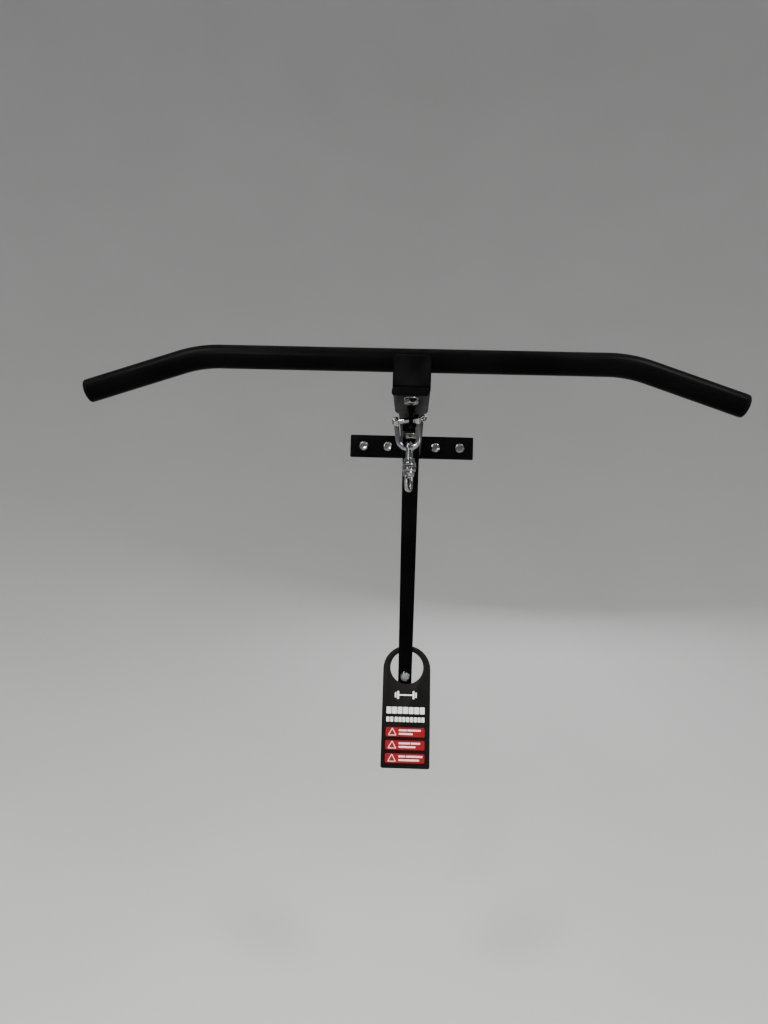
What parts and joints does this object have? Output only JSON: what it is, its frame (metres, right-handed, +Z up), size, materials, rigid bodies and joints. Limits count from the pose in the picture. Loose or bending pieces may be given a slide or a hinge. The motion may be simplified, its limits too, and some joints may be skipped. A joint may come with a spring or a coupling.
{
  "type": "wall mounted pull-up bar",
  "caption": "Wall-mounted pull-up bar with downturned grips on a braced arm, with a hanging shackle and swivel and a loose tag.",
  "frame": {"origin": "centre of the wall plate's back face, on the wall", "axes": "+Y into the wall, square to it, so the arm reaches out along -Y; +X along the bar, to the right of a user who faces the wall; +Z up"},
  "size_m": [0.8916, 0.7043, 0.7238],
  "materials": {
    "black_powder_coat": "satin black powder coat with a fine texture",
    "bright_zinc": "bright zinc plating, slightly dulled",
    "black_plastic": "moulded black plastic, satin",
    "black_card": "rigid black board with a matt face, printed in white and red"
  },
  "bodies": {
    "frame": {"wall_plate": "black_powder_coat", "wall_bolt_1": "bright_zinc", "wall_bolt_2": "bright_zinc", "wall_bolt_3": "bright_zinc", "wall_bolt_4": "bright_zinc", "wall_washer_1": "bright_zinc", "wall_washer_2": "bright_zinc", "wall_washer_3": "bright_zinc", "wall_washer_4": "bright_zinc", "arm_tube": "black_powder_coat", "arm_weld": "black_powder_coat", "sleeve_tube": "black_powder_coat", "sleeve_weld": "black_powder_coat", "front_end_cap": "black_plastic", "front_stop": "black_powder_coat", "pull_up_bar": "black_powder_coat", "bar_end_cap_left": "black_plastic", "bar_end_cap_right": "black_plastic", "bar_bolt": "bright_zinc", "bar_bolt_washer": "bright_zinc", "bar_nut": "bright_zinc", "hanger_lug": "black_powder_coat", "lug_weld": "black_powder_coat", "diagonal_strut": "black_powder_coat", "strut_bolt": "bright_zinc", "strut_bolt_washer": "bright_zinc", "strut_top_washer": "bright_zinc", "strut_nut": "bright_zinc", "foot_bolt": "bright_zinc", "foot_washer": "bright_zinc"},
    "shackle": {"shackle_bow": "bright_zinc", "shackle_pin": "bright_zinc"},
    "swivel_upper": {"swivel_upper_eye": "bright_zinc", "swivel_pin": "bright_zinc", "swivel_thrust_washer": "bright_zinc"},
    "swivel_lower": {"swivel_lower_eye": "bright_zinc"},
    "tag": {"hang_tag": "black_card"}
  },
  "joints": [
    {"name": "shackle_swing", "type": "hinge", "parent": "frame", "child": "shackle", "pos_m": [-0.0068, -0.585, -0.0415], "axis": [0.9903, 0, 0.1392], "range_deg": [-55, 55]},
    {"name": "swivel_swing", "type": "hinge", "parent": "shackle", "child": "swivel_upper", "pos_m": [-0.00113, -0.585, -0.08185], "axis": [0.9903, 0, 0.1392], "range_deg": [-30, 30]},
    {"name": "swivel_spin", "type": "hinge", "parent": "swivel_upper", "child": "swivel_lower", "pos_m": [-0.00113, -0.585, -0.109], "axis": [0, 0, 1], "continuous": true},
    {"name": "tag_swing", "type": "hinge", "parent": "frame", "child": "tag", "pos_m": [0.0035, -0.0202, -0.45731], "axis": [-1, 0, 0], "range_deg": [0, 60]}
  ]
}
